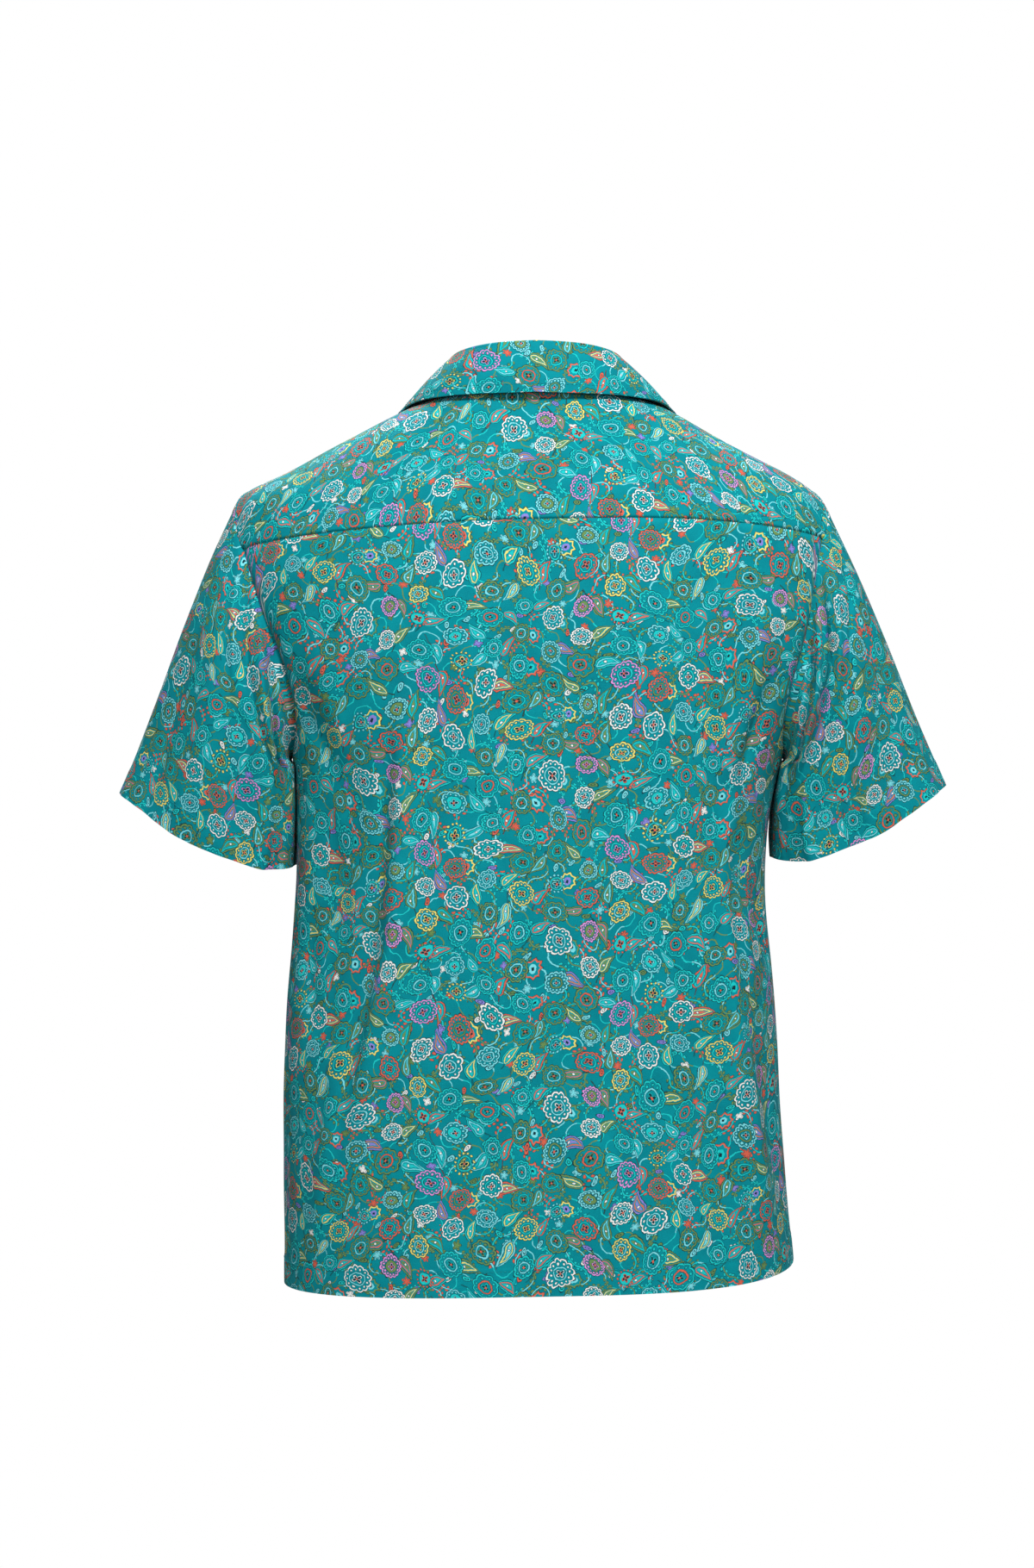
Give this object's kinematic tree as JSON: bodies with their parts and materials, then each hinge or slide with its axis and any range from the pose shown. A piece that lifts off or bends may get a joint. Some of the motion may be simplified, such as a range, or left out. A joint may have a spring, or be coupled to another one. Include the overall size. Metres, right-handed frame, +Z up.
{
  "type": "hawaiian shirt, worn form with no wearer",
  "caption": "Short-sleeved printed camp-collar shirt, buttoned in front, hollow and filled out as worn, open at neck, cuffs and hem.",
  "frame": {"origin": "middle of the neck opening, at the height of the back neck seam, where the shirt hangs from the wearer's shoulders", "axes": "+Z up, along the wearer's back; the front faces -Y; +X towards the wearer's left"},
  "size_m": [0.6442, 0.2616, 0.7237],
  "materials": {
    "printed_cotton": "matt teal cotton and linen, printed with flowers, leaves and paisleys",
    "button": "satin, pale horn brown"
  },
  "bodies": {
    "root": {"back": "printed_cotton", "yoke": "printed_cotton", "front_left": "printed_cotton", "front_right": "printed_cotton", "sleeve_left": "printed_cotton", "sleeve_right": "printed_cotton", "collar": "printed_cotton", "lapel_left": "printed_cotton", "lapel_right": "printed_cotton", "button_1": "button", "button_2": "button", "button_3": "button", "button_4": "button", "button_5": "button"}
  },
  "joints": []
}
